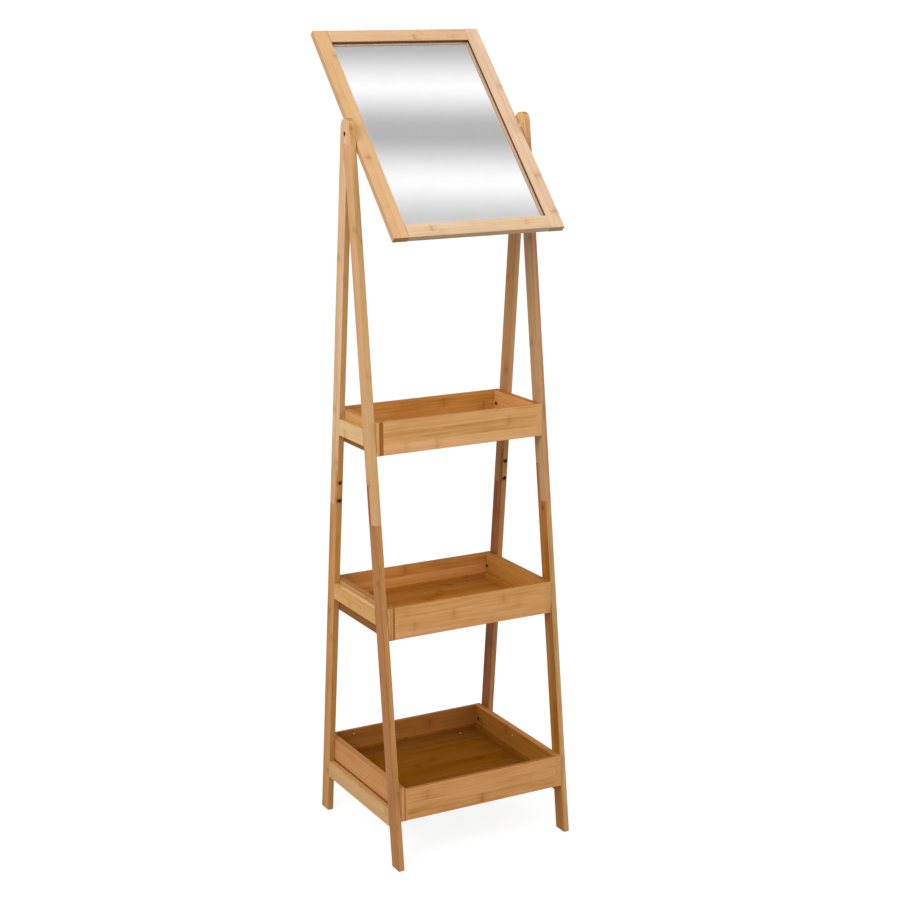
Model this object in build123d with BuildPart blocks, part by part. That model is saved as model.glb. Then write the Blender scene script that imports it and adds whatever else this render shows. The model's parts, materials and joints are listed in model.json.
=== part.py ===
from build123d import *
import os
from math import sqrt, sin, cos, radians

# Free-standing A-frame rack of laminated bamboo: three open trays between two
# side frames, and a tilting framed mirror hung between the two frame heads.
# Millimetres. X to the right, Y to the back, Z up, floor at Z = 0, and the
# origin on the floor under the middle of the overall box.

# ---------------------------------------------------------------- dimensions
X_OUT = 200.0            # outer face of each side frame
LEG_T = 12.5             # leg thickness along X
LEG_W = 32.0             # leg width across its length
FRONT_LEAN = 0.1177      # front leg goes back this much per mm of height
REAR_LEAN = 0.1090       # rear leg comes forward this much per mm of height
FOOT_FRONT = 0.0         # front edge of the front foot, before centring
FOOT_REAR = 372.0        # rear edge of the rear foot, before centring
HEAD_TOP = 1480.0        # top of the frame head
HEAD_R = 18.5            # rounding of the head's two corners
SEAT_Z = 1431.0          # the front leg's top butts under the head here
JOINT_S = 703.0          # shoulder of the two-part leg, along the leg
TONGUE_L = 78.0          # the lower piece's tongue above the shoulder
TONGUE_T = 10.7          # thickness of that tongue
LEG_SCREW_S = (12.0, 50.0)   # joint screws above the shoulder

PIVOT_Z = 1450.0
PIVOT_FROM_FRONT = 194.8     # pivot behind the front foot's front edge
TILT = 43.0                  # mirror's lean from upright at rest

MIRROR_W = 372.0
MIRROR_H = 512.0
MIRROR_T = 13.0
STILE_W = 32.0
RAIL_H = 30.0
LIP = 8.0                # front face down to the glass
GLASS_T = 3.0
BACK_T = 2.0
REBATE = 7.5             # how far the glass goes under the frame
GLASS_GAP = 0.5

TRAY_HALF = 187.5        # outer face of the tray's side walls, against the legs
WALL_T = 9.0             # front and rear walls
SIDE_T = 14.5            # side walls, two plies thick
TRAY_H = 67.0
FLOOR_T = 5.0
FLOOR_LIFT = 9.0         # underside of the tray floor above the wall's edge
FLOOR_SEAT = 1.0         # rebate round the floor's top for the strips
GROOVE = 4.0
STRIP_H = 10.0
STRIP_T = 6.0
# name: (bottom of walls, front face, rear face, bottom and height of side rail)
TRAYS = {
    "bottom": (100.0, -174.0, 174.0, 80.5, 36.0),
    "middle": (466.0, -128.0, 128.7, 492.5, 34.0),
    "top": (833.0, -88.2, 91.8, 848.0, 34.0),
}
BOLT_DROP = 27.5         # tray screws below the wall's top edge

RAIL_PIN_R = 2.5         # dowels at the ends of the side rails
RAIL_PIN_LEG = 11.0      # length in the leg
RAIL_PIN_RAIL = 15.0     # length in the rail
EDGE = 1.2               # eased long edges of the boards

# ------------------------------------------------------- centring the object
_t = radians(TILT)
_top_back = PIVOT_FROM_FRONT + MIRROR_H / 2 * sin(_t) + MIRROR_T / 2 * cos(_t)
Y0 = (FOOT_FRONT + max(FOOT_REAR, _top_back)) / 2
YF = FOOT_FRONT - Y0
YR = FOOT_REAR - Y0
PIVOT_Y = PIVOT_FROM_FRONT - Y0
X_IN = X_OUT - LEG_T
RAIL_X = X_IN + LEG_T / 2     # middle of a side rail, which is flush with the legs

NF = sqrt(1 + FRONT_LEAN ** 2)
NR = sqrt(1 + REAR_LEAN ** 2)


def front_pt(s, u):
    """Point of the front leg: s along it from the floor, u behind its front edge."""
    return (YF + (s * FRONT_LEAN + u) / NF, (s - u * FRONT_LEAN) / NF)


def rear_pt(s, u):
    """Point of the rear leg: s along it from the floor, u ahead of its rear edge."""
    return (YR - (s * REAR_LEAN + u) / NR, (s - u * REAR_LEAN) / NR)


def front_edge(z, u=0.0):
    return YF + FRONT_LEAN * z + u * NF


def rear_edge(z, u=0.0):
    return YR - REAR_LEAN * z - u * NR


front_lower_pts = [
    (front_edge(0), 0), (front_edge(0, LEG_W), 0),
    front_pt(JOINT_S + TONGUE_L, LEG_W), front_pt(JOINT_S + TONGUE_L, LEG_W - TONGUE_T),
    front_pt(JOINT_S, LEG_W - TONGUE_T), front_pt(JOINT_S, 0),
]
front_upper_pts = [
    front_pt(JOINT_S, 0), front_pt(JOINT_S, LEG_W - TONGUE_T),
    front_pt(JOINT_S + TONGUE_L, LEG_W - TONGUE_T), front_pt(JOINT_S + TONGUE_L, LEG_W),
    (front_edge(SEAT_Z, LEG_W), SEAT_Z), (front_edge(SEAT_Z), SEAT_Z),
]
rear_lower_pts = [
    (rear_edge(0), 0), (rear_edge(0, LEG_W), 0),
    rear_pt(JOINT_S + TONGUE_L, LEG_W), rear_pt(JOINT_S + TONGUE_L, LEG_W - TONGUE_T),
    rear_pt(JOINT_S, LEG_W - TONGUE_T), rear_pt(JOINT_S, 0),
]
# where the two legs' inner edges meet
MEET_Z = (YR - LEG_W * NR - YF - LEG_W * NF) / (FRONT_LEAN + REAR_LEAN)
rear_upper_pts = [
    rear_pt(JOINT_S, 0), rear_pt(JOINT_S, LEG_W - TONGUE_T),
    rear_pt(JOINT_S + TONGUE_L, LEG_W - TONGUE_T), rear_pt(JOINT_S + TONGUE_L, LEG_W),
    (rear_edge(MEET_Z, LEG_W), MEET_Z),
    (front_edge(SEAT_Z, LEG_W), SEAT_Z), (front_edge(SEAT_Z), SEAT_Z),
    (front_edge(HEAD_TOP), HEAD_TOP), (rear_edge(HEAD_TOP), HEAD_TOP),
]

SIDES = {"left": -1, "right": 1}


def side_plane(sign, x):
    """Y-Z plane whose normal points away from the rack's middle."""
    if sign > 0:
        return Plane(origin=(x, 0, 0), x_dir=(0, 1, 0), z_dir=(1, 0, 0))
    return Plane(origin=(-x, 0, 0), x_dir=(0, -1, 0), z_dir=(-1, 0, 0))


def side_pts(sign, pts):
    return [(sign * y, z) for (y, z) in pts]


def save(part, node):
    part.label = node
    export_step(part, "parts/" + node + ".step")


os.makedirs("parts", exist_ok=True)
for old in os.listdir("parts"):
    if old.endswith(".step"):
        os.remove(os.path.join("parts", old))

SCREW_R = 2.0            # tray and leg screw shank
SCREW_HEAD_R = 3.6
SCREW_HEAD_H = 1.8
FIT = 0.05               # gap round a hidden pin

# centre lines of the tray screws, in the middle of each leg
tray_screw_yz = {}
for tier, (zb, yf, yr, zr, zh) in TRAYS.items():
    z = zb + TRAY_H - BOLT_DROP
    tray_screw_yz[tier] = [(front_edge(z, LEG_W / 2), z), (rear_edge(z, LEG_W / 2), z)]


def rail_pins(tier, leg):
    """Where the rail's dowels cross the leg's inner edge: (y, z), and the way from leg to rail."""
    zr, zh = TRAYS[tier][3:]
    edge, way = (front_edge, 1) if leg == "front" else (rear_edge, -1)
    return [(edge(z, LEG_W), z) for z in (zr + 9.0, zr + zh - 9.0)], way


def along_y(x, y0, y1, z):
    """Plane across Y at the nearer of two ends of a pin or bore."""
    return Plane(origin=(x, min(y0, y1), z), x_dir=(1, 0, 0), z_dir=(0, 1, 0))


# ------------------------------------------------------------------ the legs
for side, sg in SIDES.items():
    for leg, pts, pt in (("front", front_lower_pts, front_pt), ("rear", rear_lower_pts, rear_pt)):
        with BuildPart() as leg_lower:
            with BuildSketch(side_plane(sg, X_IN)):
                with BuildLine():
                    Polyline(*side_pts(sg, pts), close=True)
                make_face()
            extrude(amount=LEG_T)
            fillet(leg_lower.edges().filter_by(GeomType.LINE).filter_by(
                lambda e: e.length > 500), EDGE)
            # dowel bores for the bottom and middle side rails
            for tier in ("bottom", "middle"):
                pins, way = rail_pins(tier, leg)
                for (y, z) in pins:
                    with BuildSketch(along_y(sg * RAIL_X, y - way * RAIL_PIN_LEG, y + way * 5, z)):
                        Circle(RAIL_PIN_R + FIT)
                    extrude(amount=RAIL_PIN_LEG + 5, mode=Mode.SUBTRACT)
            # tray screws end in the leg
            for tier in ("bottom", "middle"):
                for (y, z) in tray_screw_yz[tier]:
                    with BuildSketch(side_plane(sg, X_IN - 1)):
                        with Locations((sg * y, z)):
                            Circle(SCREW_R + FIT)
                    extrude(amount=10.0 + 1, mode=Mode.SUBTRACT)
            # joint screws through the tongue, heads sunk into its inner face
            for ds in LEG_SCREW_S:
                y, z = pt(JOINT_S + ds, LEG_W)
                y2, z2 = pt(JOINT_S + ds, LEG_W - 1)
                d = Vector(0, y2 - y, z2 - z)
                hole_plane = Plane(origin=(sg * (X_IN + LEG_T / 2), y, z), x_dir=(1, 0, 0), z_dir=d)
                with BuildSketch(hole_plane.offset(-2)):
                    Circle(SCREW_R + FIT)
                extrude(amount=2 + 24, mode=Mode.SUBTRACT)
                with BuildSketch(hole_plane.offset(-2)):
                    Circle(SCREW_HEAD_R + 0.5)
                extrude(amount=2 + 3.2, mode=Mode.SUBTRACT)
        save(leg_lower.part, f"{side}_{leg}_leg_lower")

    with BuildPart() as front_upper:
        with BuildSketch(side_plane(sg, X_IN)):
            with BuildLine():
                Polyline(*side_pts(sg, front_upper_pts), close=True)
            make_face()
        extrude(amount=LEG_T)
        fillet(front_upper.edges().filter_by(GeomType.LINE).filter_by(lambda e: e.length > 500), EDGE)
        pins, way = rail_pins("top", "front")
        for (y, z) in pins:
            with BuildSketch(along_y(sg * RAIL_X, y - way * RAIL_PIN_LEG, y + way * 5, z)):
                Circle(RAIL_PIN_R + FIT)
            extrude(amount=RAIL_PIN_LEG + 5, mode=Mode.SUBTRACT)
        y, z = tray_screw_yz["top"][0]
        with BuildSketch(side_plane(sg, X_IN - 1)):
            with Locations((sg * y, z)):
                Circle(SCREW_R + FIT)
        extrude(amount=11.0, mode=Mode.SUBTRACT)
        for ds in LEG_SCREW_S:
            y, z = front_pt(JOINT_S + ds, LEG_W)
            y2, z2 = front_pt(JOINT_S + ds, LEG_W - 1)
            hole_plane = Plane(origin=(sg * (X_IN + LEG_T / 2), y, z), x_dir=(1, 0, 0),
                               z_dir=Vector(0, y2 - y, z2 - z))
            with BuildSketch(hole_plane):
                Circle(SCREW_R + FIT)
            extrude(amount=24, mode=Mode.SUBTRACT)
        # dowel up into the head
        with BuildSketch(Plane.XY.offset(SEAT_Z - 16)):
            with Locations((sg * (X_IN + LEG_T / 2), front_edge(SEAT_Z, 12))):
                Circle(3 + FIT)
        extrude(amount=20, mode=Mode.SUBTRACT)
    save(front_upper.part, f"{side}_front_leg_upper")

    with BuildPart() as rear_upper:
        with BuildSketch(side_plane(sg, X_IN)) as head_sketch:
            with BuildLine():
                Polyline(*side_pts(sg, rear_upper_pts), close=True)
            make_face()
            fillet(head_sketch.vertices().group_by(Axis.Y)[-1], HEAD_R)
        extrude(amount=LEG_T)
        fillet(rear_upper.edges().filter_by(GeomType.LINE).filter_by(lambda e: e.length > 500), EDGE)
        pins, way = rail_pins("top", "rear")
        for (y, z) in pins:
            with BuildSketch(along_y(sg * RAIL_X, y - way * RAIL_PIN_LEG, y + way * 5, z)):
                Circle(RAIL_PIN_R + FIT)
            extrude(amount=RAIL_PIN_LEG + 5, mode=Mode.SUBTRACT)
        y, z = tray_screw_yz["top"][1]
        with BuildSketch(side_plane(sg, X_IN - 1)):
            with Locations((sg * y, z)):
                Circle(SCREW_R + FIT)
        extrude(amount=11.0, mode=Mode.SUBTRACT)
        for ds in LEG_SCREW_S:
            y, z = rear_pt(JOINT_S + ds, LEG_W)
            y2, z2 = rear_pt(JOINT_S + ds, LEG_W - 1)
            hole_plane = Plane(origin=(sg * (X_IN + LEG_T / 2), y, z), x_dir=(1, 0, 0),
                               z_dir=Vector(0, y2 - y, z2 - z))
            with BuildSketch(hole_plane):
                Circle(SCREW_R + FIT)
            extrude(amount=24, mode=Mode.SUBTRACT)
        with BuildSketch(Plane.XY.offset(SEAT_Z - 1)):
            with Locations((sg * (X_IN + LEG_T / 2), front_edge(SEAT_Z, 12))):
                Circle(3 + FIT)
        extrude(amount=1 + 14, mode=Mode.SUBTRACT)
        # pivot hole with a counterbore from the outside
        with Locations(Plane(origin=(sg * X_OUT, PIVOT_Y, PIVOT_Z), x_dir=(0, sg, 0), z_dir=(sg, 0, 0))):
            CounterBoreHole(radius=2.55, counter_bore_radius=4.6, counter_bore_depth=4.0, depth=LEG_T + 1)
    save(rear_upper.part, f"{side}_rear_leg_upper")

# ------------------------------------------------------------ the side rails
# each rail fills the space between the two legs of its side frame, flush with their faces
for tier, (zb, yf, yr, zr, zh) in TRAYS.items():
    zt = zr + zh
    rail_pts = [(front_edge(zr, LEG_W), zr), (rear_edge(zr, LEG_W), zr),
                (rear_edge(zt, LEG_W), zt), (front_edge(zt, LEG_W), zt)]
    for side, sg in SIDES.items():
        with BuildPart() as rail:
            with BuildSketch(side_plane(sg, X_IN)):
                with BuildLine():
                    Polyline(*side_pts(sg, rail_pts), close=True)
                make_face()
            extrude(amount=LEG_T)
            fillet(rail.edges().filter_by(Axis.Y), EDGE)
            for leg in ("front", "rear"):
                pins, way = rail_pins(tier, leg)
                for (y, z) in pins:
                    with BuildSketch(along_y(sg * RAIL_X, y - way * 5, y + way * RAIL_PIN_RAIL, z)):
                        Circle(RAIL_PIN_R + FIT)
                    extrude(amount=RAIL_PIN_RAIL + 5, mode=Mode.SUBTRACT)
        save(rail.part, f"{side}_{tier}_side_rail")

with BuildPart() as rail_dowels:
    for sg in (-1, 1):
        for tier in TRAYS:
            for leg in ("front", "rear"):
                pins, way = rail_pins(tier, leg)
                for (y, z) in pins:
                    with BuildSketch(along_y(sg * RAIL_X, y - way * RAIL_PIN_LEG, y + way * RAIL_PIN_RAIL, z)):
                        Circle(RAIL_PIN_R)
                    extrude(amount=RAIL_PIN_LEG + RAIL_PIN_RAIL)
save(rail_dowels.part, "side_rail_dowels")

# ----------------------------------------------------------------- the trays
DOWEL_R = 2.5
DOWEL_IN_SIDE = 8.0
DOWEL_IN_END = 18.0
PAN_SHANK_R = 1.3        # small pan-head screws of the bottom tray
PAN_SHANK_L = 7.0
PAN_HEAD_R = 2.6
inner = TRAY_HALF - SIDE_T
_zb, _yf, _yr = TRAYS["bottom"][:3]
rear_wall_screw = (-130.0, _zb + 57.0)                       # x, z
right_wall_screw = (3.0, _zb + 51.0)                         # y, z
floor_screw = (126.0, _yr - WALL_T - STRIP_T - 8.0)          # x, y
for tier, (zb, yf, yr, zr, zh) in TRAYS.items():
    zf = zb + FLOOR_LIFT
    depth = yr - yf - 2 * WALL_T
    dowel_z = (zb + 30.0, zb + 52.0)
    for wall, y_a in (("front", yf), ("rear", yr - WALL_T)):
        inward = 1 if wall == "front" else -1
        y_in = y_a + WALL_T if wall == "front" else y_a
        with BuildPart() as panel:
            with BuildSketch(Plane.XY.offset(zb)):
                with Locations((0, y_a + WALL_T / 2)):
                    Rectangle(2 * inner, WALL_T)
            extrude(amount=TRAY_H)
            fillet(panel.edges().filter_by(Axis.X), EDGE)
            with BuildSketch(Plane.XY.offset(zf)):
                with Locations((0, y_in - inward * (GROOVE - 1) / 2)):
                    Rectangle(2 * inner, GROOVE + 1)
            extrude(amount=FLOOR_T - FLOOR_SEAT, mode=Mode.SUBTRACT)
            for z in dowel_z:
                for sg in (-1, 1):
                    with BuildSketch(side_plane(sg, inner - DOWEL_IN_END)):
                        with Locations((sg * (y_a + WALL_T / 2), z)):
                            Circle(DOWEL_R + FIT)
                    extrude(amount=DOWEL_IN_END + 1, mode=Mode.SUBTRACT)
            if tier == "bottom" and wall == "rear":
                x, z = rear_wall_screw
                with BuildSketch(Plane(origin=(x, y_in - 1, z), x_dir=(1, 0, 0), z_dir=(0, 1, 0))):
                    Circle(PAN_SHANK_R + FIT)
                extrude(amount=PAN_SHANK_L + 1, mode=Mode.SUBTRACT)
        save(panel.part, f"{tier}_tray_{wall}_wall")
    for side, sg in SIDES.items():
        with BuildPart() as cheek:
            with BuildSketch(Plane.XY.offset(zb)):
                with Locations((sg * (TRAY_HALF - SIDE_T / 2), (yf + yr) / 2)):
                    Rectangle(SIDE_T, yr - yf)
            extrude(amount=TRAY_H)
            fillet(cheek.edges().filter_by(Axis.Y), EDGE)
            with BuildSketch(Plane.XY.offset(zf)):
                with Locations((sg * (inner + GROOVE / 2 - 0.5), (yf + yr) / 2)):
                    Rectangle(GROOVE + 1, yr - yf - 2 * (WALL_T - GROOVE))
            extrude(amount=FLOOR_T - FLOOR_SEAT, mode=Mode.SUBTRACT)
            for z in dowel_z:
                for y in (yf + WALL_T / 2, yr - WALL_T / 2):
                    with BuildSketch(side_plane(sg, inner - 1)):
                        with Locations((sg * y, z)):
                            Circle(DOWEL_R + FIT)
                    extrude(amount=DOWEL_IN_SIDE + 1, mode=Mode.SUBTRACT)
            for (y, z) in tray_screw_yz[tier]:
                with BuildSketch(side_plane(sg, inner - 1)):
                    with Locations((sg * y, z)):
                        Circle(SCREW_R + FIT)
                extrude(amount=SIDE_T + 2, mode=Mode.SUBTRACT)
            if tier == "bottom" and side == "right":
                y, z = right_wall_screw
                with BuildSketch(side_plane(sg, inner - 1)):
                    with Locations((sg * y, z)):
                        Circle(PAN_SHANK_R + FIT)
                extrude(amount=PAN_SHANK_L + 1, mode=Mode.SUBTRACT)
        save(cheek.part, f"{tier}_tray_{side}_wall")
    with BuildPart() as floor:
        with BuildSketch(Plane.XY.offset(zf)):
            with Locations((0, (yf + yr) / 2)):
                Rectangle(2 * (inner + GROOVE), yr - yf - 2 * (WALL_T - GROOVE))
        extrude(amount=FLOOR_T - FLOOR_SEAT)
        with BuildSketch(Plane.XY.offset(zf + FLOOR_T - FLOOR_SEAT)):
            with Locations((0, (yf + yr) / 2)):
                Rectangle(2 * (inner - STRIP_T), depth - 2 * STRIP_T)
        extrude(amount=FLOOR_SEAT)
        if tier == "bottom":
            x, y = floor_screw
            with BuildSketch(Plane.XY.offset(zf)):
                with Locations((x, y)):
                    Circle(PAN_SHANK_R + FIT)
            extrude(amount=FLOOR_T, mode=Mode.SUBTRACT)
    save(floor.part, f"{tier}_tray_floor")
    # strips that hold the floor down, round the foot of the walls
    with BuildPart() as strips:
        with BuildSketch(Plane.XY.offset(zf + FLOOR_T - FLOOR_SEAT)):
            with Locations((0, yf + WALL_T + STRIP_T / 2), (0, yr - WALL_T - STRIP_T / 2)):
                Rectangle(2 * inner, STRIP_T)
        extrude(amount=STRIP_H + FLOOR_SEAT)
        fillet(strips.edges().filter_by(Axis.X).group_by(Axis.Z)[-1].sort_by(Axis.Y)[1:3], EDGE * 1.5)
    with BuildPart() as side_strips:
        with BuildSketch(Plane.XY.offset(zf + FLOOR_T - FLOOR_SEAT)):
            with Locations((inner - STRIP_T / 2, (yf + yr) / 2), (-(inner - STRIP_T / 2), (yf + yr) / 2)):
                Rectangle(STRIP_T, depth - 2 * STRIP_T)
        extrude(amount=STRIP_H + FLOOR_SEAT)
        fillet(side_strips.edges().filter_by(Axis.Y).group_by(Axis.Z)[-1].sort_by(Axis.X)[1:3], EDGE * 1.5)
    both = Compound(children=list(strips.part.solids()) + list(side_strips.part.solids()))
    save(both, f"{tier}_tray_floor_strips")
    # dowels between the walls
    with BuildPart() as dowels:
        for z in dowel_z:
            for y in (yf + WALL_T / 2, yr - WALL_T / 2):
                for sg in (-1, 1):
                    with BuildSketch(side_plane(sg, inner - DOWEL_IN_END)):
                        with Locations((sg * y, z)):
                            Circle(DOWEL_R)
                    extrude(amount=DOWEL_IN_END + DOWEL_IN_SIDE)
    save(dowels.part, f"{tier}_tray_dowels")
    # screws through the side walls into the legs, heads inside the tray
    with BuildPart() as tray_screws:
        for sg in (-1, 1):
            for (y, z) in tray_screw_yz[tier]:
                with BuildSketch(side_plane(sg, inner - SCREW_HEAD_H)):
                    with Locations((sg * y, z)):
                        Circle(SCREW_HEAD_R)
                extrude(amount=SCREW_HEAD_H)
                with BuildSketch(side_plane(sg, inner)):
                    with Locations((sg * y, z)):
                        Circle(SCREW_R)
                extrude(amount=X_IN + 9.0 - inner)
        fillet(tray_screws.edges().filter_by(GeomType.CIRCLE).filter_by(
            lambda e: abs(abs(e.center().X) - (inner - SCREW_HEAD_H)) < 0.01), 0.9)
        # drive recesses
        for sg in (-1, 1):
            for (y, z) in tray_screw_yz[tier]:
                with BuildSketch(side_plane(sg, inner - SCREW_HEAD_H - 1)):
                    with Locations((sg * y, z)):
                        Rectangle(3.6, 0.8)
                        Rectangle(0.8, 3.6)
                extrude(amount=2.2, mode=Mode.SUBTRACT)
    save(tray_screws.part, f"{tier}_tray_screws")

# small pan-head screws that show inside the bottom tray
zb, yf, yr = TRAYS["bottom"][:3]
with BuildPart() as pan_screws:
    heads = [
        (Plane(origin=(rear_wall_screw[0], yr - WALL_T, rear_wall_screw[1]), x_dir=(1, 0, 0), z_dir=(0, -1, 0)),
         PAN_SHANK_L),
        (Plane(origin=(inner, right_wall_screw[0], right_wall_screw[1]), x_dir=(0, 1, 0), z_dir=(-1, 0, 0)),
         PAN_SHANK_L),
        (Plane(origin=(floor_screw[0], floor_screw[1], zb + FLOOR_LIFT + FLOOR_T), x_dir=(1, 0, 0), z_dir=(0, 0, 1)),
         FLOOR_T),
    ]
    for plane, shank in heads:
        with BuildSketch(plane):
            Circle(PAN_HEAD_R)
        extrude(amount=1.6)
    fillet(pan_screws.edges().filter_by(GeomType.CIRCLE).filter_by(
        lambda e: e.center().Y < yr - WALL_T - 1 and abs(e.center().X) != inner
        and e.center().Z != zb + FLOOR_LIFT + FLOOR_T), 0.8)
    for plane, shank in heads:
        with BuildSketch(plane):
            Circle(PAN_SHANK_R)
        extrude(amount=-shank)
        # drive slot
        with BuildSketch(plane.offset(0.8)):
            Rectangle(2.6, 0.6)
            Rectangle(0.6, 2.6)
        extrude(amount=1.0, mode=Mode.SUBTRACT)
save(pan_screws.part, "bottom_tray_pan_screws")

# ------------------------------------------------ screws of the leg joints
with BuildPart() as leg_screws:
    for sg in (-1, 1):
        for pt in (front_pt, rear_pt):
            for ds in LEG_SCREW_S:
                y, z = pt(JOINT_S + ds, LEG_W - 3.2)
                y2, z2 = pt(JOINT_S + ds, LEG_W - 4.2)
                seat = Plane(origin=(sg * (X_IN + LEG_T / 2), y, z), x_dir=(1, 0, 0),
                             z_dir=Vector(0, y2 - y, z2 - z))
                with BuildSketch(seat.offset(-2.0)):
                    Circle(SCREW_HEAD_R)
                extrude(amount=2.0)
                with BuildSketch(seat):
                    Circle(SCREW_R)
                extrude(amount=24 - 3.2)
                with BuildSketch(seat.offset(-3.0)):
                    Rectangle(3.6, 0.8)
                    Rectangle(0.8, 3.6)
                extrude(amount=2.2, mode=Mode.SUBTRACT)
save(leg_screws.part, "leg_joint_screws")

# dowels that lock each front leg under its head
with BuildPart() as head_dowels:
    for sg in (-1, 1):
        with BuildSketch(Plane.XY.offset(SEAT_Z - 16)):
            with Locations((sg * (X_IN + LEG_T / 2), front_edge(SEAT_Z, 12))):
                Circle(3.0)
        extrude(amount=30)
save(head_dowels.part, "head_dowels")

# ---------------------------------------------------------------- the mirror
# local frame: x along the pivot, y up the glass, z out of the front face
tilt = radians(TILT)
face = Plane(origin=(0, PIVOT_Y, PIVOT_Z), x_dir=(1, 0, 0), z_dir=(0, -cos(tilt), sin(tilt)))
back_d = -MIRROR_T / 2
front_d = MIRROR_T / 2
glass_front = front_d - LIP
half_w, half_h = MIRROR_W / 2, MIRROR_H / 2
open_w, open_h = half_w - STILE_W, half_h - RAIL_H
PIN_R, PIN_L = 3.0, 15.0          # frame dowels, length each side of the joint
dowel_v = (half_h - RAIL_H / 2 - 7, half_h - RAIL_H / 2 + 7)
DOWEL_D = 2.0                     # dowels sit ahead of the rebate

for side, sg in SIDES.items():
    with BuildPart() as stile:
        with BuildSketch(face.offset(back_d)):
            with Locations((sg * (half_w - STILE_W / 2), 0)):
                Rectangle(STILE_W, MIRROR_H)
        extrude(amount=MIRROR_T)
        fillet(stile.edges().filter_by(GeomType.LINE).filter_by(lambda e: e.length > 500), EDGE)
        with BuildSketch(face.offset(back_d)):
            Rectangle(2 * (open_w + REBATE), 2 * (open_h + REBATE))
        extrude(amount=MIRROR_T - LIP, mode=Mode.SUBTRACT)
        # bore for the threaded insert
        insert_plane = Plane(origin=(sg * half_w, PIVOT_Y, PIVOT_Z), x_dir=(0, sg, 0), z_dir=(sg, 0, 0))
        with BuildSketch(insert_plane.offset(-14)):
            Circle(3.5 + FIT)
        extrude(amount=15, mode=Mode.SUBTRACT)
        for v in dowel_v:
            for vs in (-1, 1):
                pin = Plane(origin=face.from_local_coords(Vector(sg * open_w, vs * v, DOWEL_D)),
                            x_dir=(0, sg, 0), z_dir=(sg, 0, 0))
                with BuildSketch(pin.offset(-1)):
                    Circle(PIN_R + FIT)
                extrude(amount=PIN_L + 1, mode=Mode.SUBTRACT)
        # screw holes of the backing clips
        for v in (-150.0, 0.0, 150.0):
            clip = Plane(origin=face.from_local_coords(Vector(sg * (open_w + REBATE + 9), v, back_d)),
                         x_dir=(1, 0, 0), z_dir=(0, -cos(tilt), sin(tilt)))
            with BuildSketch(clip):
                Circle(1.25 + FIT)
            extrude(amount=8, mode=Mode.SUBTRACT)
    save(stile.part, f"mirror_{side}_stile")

for name, vs in (("top", 1), ("bottom", -1)):
    with BuildPart() as cross_rail:
        with BuildSketch(face.offset(back_d)):
            with Locations((0, vs * (half_h - RAIL_H / 2))):
                Rectangle(2 * open_w, RAIL_H)
        extrude(amount=MIRROR_T)
        fillet(cross_rail.edges().filter_by(GeomType.LINE).filter_by(lambda e: e.length > 200), EDGE)
        with BuildSketch(face.offset(back_d)):
            Rectangle(2 * (open_w + REBATE), 2 * (open_h + REBATE))
        extrude(amount=MIRROR_T - LIP, mode=Mode.SUBTRACT)
        for v in dowel_v:
            for sg in (-1, 1):
                pin = Plane(origin=face.from_local_coords(Vector(sg * open_w, vs * v, DOWEL_D)),
                            x_dir=(0, sg, 0), z_dir=(sg, 0, 0))
                with BuildSketch(pin.offset(-PIN_L)):
                    Circle(PIN_R + FIT)
                extrude(amount=PIN_L + 1, mode=Mode.SUBTRACT)
    save(cross_rail.part, f"mirror_{name}_rail")

with BuildPart() as frame_dowels:
    for v in dowel_v:
        for vs in (-1, 1):
            for sg in (-1, 1):
                pin = Plane(origin=face.from_local_coords(Vector(sg * open_w, vs * v, DOWEL_D)),
                            x_dir=(0, sg, 0), z_dir=(sg, 0, 0))
                with BuildSketch(pin.offset(-PIN_L)):
                    Circle(PIN_R)
                extrude(amount=2 * PIN_L)
save(frame_dowels.part, "mirror_frame_dowels")

glass_w = open_w + REBATE - GLASS_GAP
glass_h = open_h + REBATE - GLASS_GAP
with BuildPart() as glass:
    with BuildSketch(face.offset(glass_front - GLASS_T)):
        Rectangle(2 * glass_w, 2 * glass_h)
    extrude(amount=GLASS_T)
save(glass.part, "mirror_glass")

with BuildPart() as backing:
    with BuildSketch(face.offset(back_d)):
        Rectangle(2 * glass_w, 2 * glass_h)
    extrude(amount=BACK_T)
save(backing.part, "mirror_backing_board")

CLIP_T = 1.0
with BuildPart() as clips:
    for sg in (-1, 1):
        for v in (-150.0, 0.0, 150.0):
            x_screw = sg * (open_w + REBATE + 9)
            with BuildSketch(face.offset(back_d - CLIP_T)):
                with Locations((x_screw - sg * 7.0, v)):
                    SlotOverall(28.0, 9.0)
                with Locations((x_screw, v)):
                    Circle(1.25 + FIT, mode=Mode.SUBTRACT)
            extrude(amount=CLIP_T)
save(clips.part, "mirror_backing_clips")

with BuildPart() as clip_screws:
    for sg in (-1, 1):
        for v in (-150.0, 0.0, 150.0):
            x_screw = sg * (open_w + REBATE + 9)
            with BuildSketch(face.offset(back_d - CLIP_T - 1.4)):
                with Locations((x_screw, v)):
                    Circle(2.6)
            extrude(amount=1.4)
            with BuildSketch(face.offset(back_d - CLIP_T)):
                with Locations((x_screw, v)):
                    Circle(1.25)
            extrude(amount=CLIP_T + 8)
save(clip_screws.part, "mirror_clip_screws")

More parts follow.
